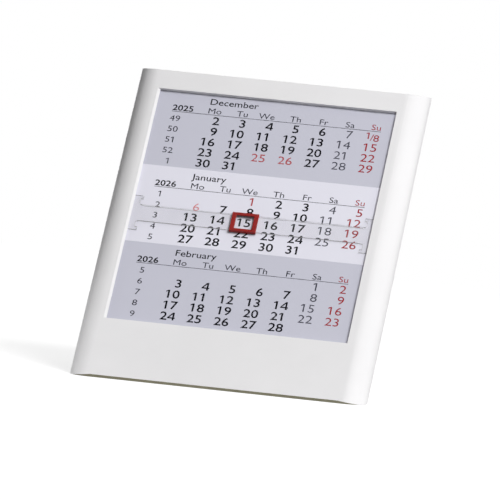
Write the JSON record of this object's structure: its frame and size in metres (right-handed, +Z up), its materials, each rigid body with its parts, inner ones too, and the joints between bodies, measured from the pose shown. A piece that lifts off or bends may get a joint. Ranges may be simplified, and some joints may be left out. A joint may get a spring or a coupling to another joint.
{
  "type": "desk calendar",
  "caption": "Leaning desk calendar: month cards behind a window, a clear sliding band with a red date cursor, and a hinged fold-out leg at the back.",
  "frame": {"origin": "on the desk, under the middle of the calendar's box", "axes": "+Z up, +Y towards the back, +X to the right seen from the front"},
  "size_m": [0.11, 0.096, 0.1118],
  "materials": {
    "shell_plastic": "satin white moulded plastic",
    "back_plastic": "fine-textured white moulded plastic",
    "clear_plastic": "clear polished plastic",
    "red_plastic": "glossy red moulded plastic",
    "card_stock": "smooth printed card",
    "soft_strip": "matt soft non-slip strip",
    "steel": "plain bright steel"
  },
  "bodies": {
    "frame": {"front_shell": "shell_plastic", "base_strip": "soft_strip", "back_cover": "back_plastic", "cover_screws": "steel", "hinge_pin": "steel"},
    "leg": {"stand_leg": "back_plastic", "leg_pad": "soft_strip"},
    "band": {"date_band": "clear_plastic"},
    "cursor": {"date_cursor": "red_plastic"},
    "card_01_body": {"card_01": "card_stock"},
    "card_02_body": {"card_02": "card_stock"},
    "card_03_body": {"card_03": "card_stock"},
    "card_04_body": {"card_04": "card_stock"},
    "card_05_body": {"card_05": "card_stock"},
    "card_06_body": {"card_06": "card_stock"},
    "card_07_body": {"card_07": "card_stock"},
    "card_08_body": {"card_08": "card_stock"},
    "card_09_body": {"card_09": "card_stock"},
    "card_10_body": {"card_10": "card_stock"},
    "card_11_body": {"card_11": "card_stock"},
    "card_12_body": {"card_12": "card_stock"}
  },
  "joints": [
    {"name": "leg_fold", "type": "hinge", "parent": "frame", "child": "leg", "pos_m": [0, 0.01956, 0.06927], "axis": [-1, 0, 0], "range_deg": [0, 53]},
    {"name": "band_slide", "type": "slide", "parent": "frame", "child": "band", "axis": [0, 0.6018, 0.7986], "range_m": [-0.0407, 0.0488]},
    {"name": "cursor_slide", "type": "slide", "parent": "band", "child": "cursor", "axis": [1, 0, 0], "range_m": [-0.0341, 0.0391]},
    {"name": "card_01_lift", "type": "slide", "parent": "frame", "child": "card_01_body", "axis": [0, 0.6018, 0.7986], "range_m": [0, 0.1]},
    {"name": "card_02_lift", "type": "slide", "parent": "frame", "child": "card_02_body", "axis": [0, 0.6018, 0.7986], "range_m": [0, 0.1]},
    {"name": "card_03_lift", "type": "slide", "parent": "frame", "child": "card_03_body", "axis": [0, 0.6018, 0.7986], "range_m": [0, 0.1]},
    {"name": "card_04_lift", "type": "slide", "parent": "frame", "child": "card_04_body", "axis": [0, 0.6018, 0.7986], "range_m": [0, 0.1]},
    {"name": "card_05_lift", "type": "slide", "parent": "frame", "child": "card_05_body", "axis": [0, 0.6018, 0.7986], "range_m": [0, 0.1]},
    {"name": "card_06_lift", "type": "slide", "parent": "frame", "child": "card_06_body", "axis": [0, 0.6018, 0.7986], "range_m": [0, 0.1]},
    {"name": "card_07_lift", "type": "slide", "parent": "frame", "child": "card_07_body", "axis": [0, 0.6018, 0.7986], "range_m": [0, 0.1]},
    {"name": "card_08_lift", "type": "slide", "parent": "frame", "child": "card_08_body", "axis": [0, 0.6018, 0.7986], "range_m": [0, 0.1]},
    {"name": "card_09_lift", "type": "slide", "parent": "frame", "child": "card_09_body", "axis": [0, 0.6018, 0.7986], "range_m": [0, 0.1]},
    {"name": "card_10_lift", "type": "slide", "parent": "frame", "child": "card_10_body", "axis": [0, 0.6018, 0.7986], "range_m": [0, 0.1]},
    {"name": "card_11_lift", "type": "slide", "parent": "frame", "child": "card_11_body", "axis": [0, 0.6018, 0.7986], "range_m": [0, 0.1]},
    {"name": "card_12_lift", "type": "slide", "parent": "frame", "child": "card_12_body", "axis": [0, 0.6018, 0.7986], "range_m": [0, 0.1]}
  ]
}
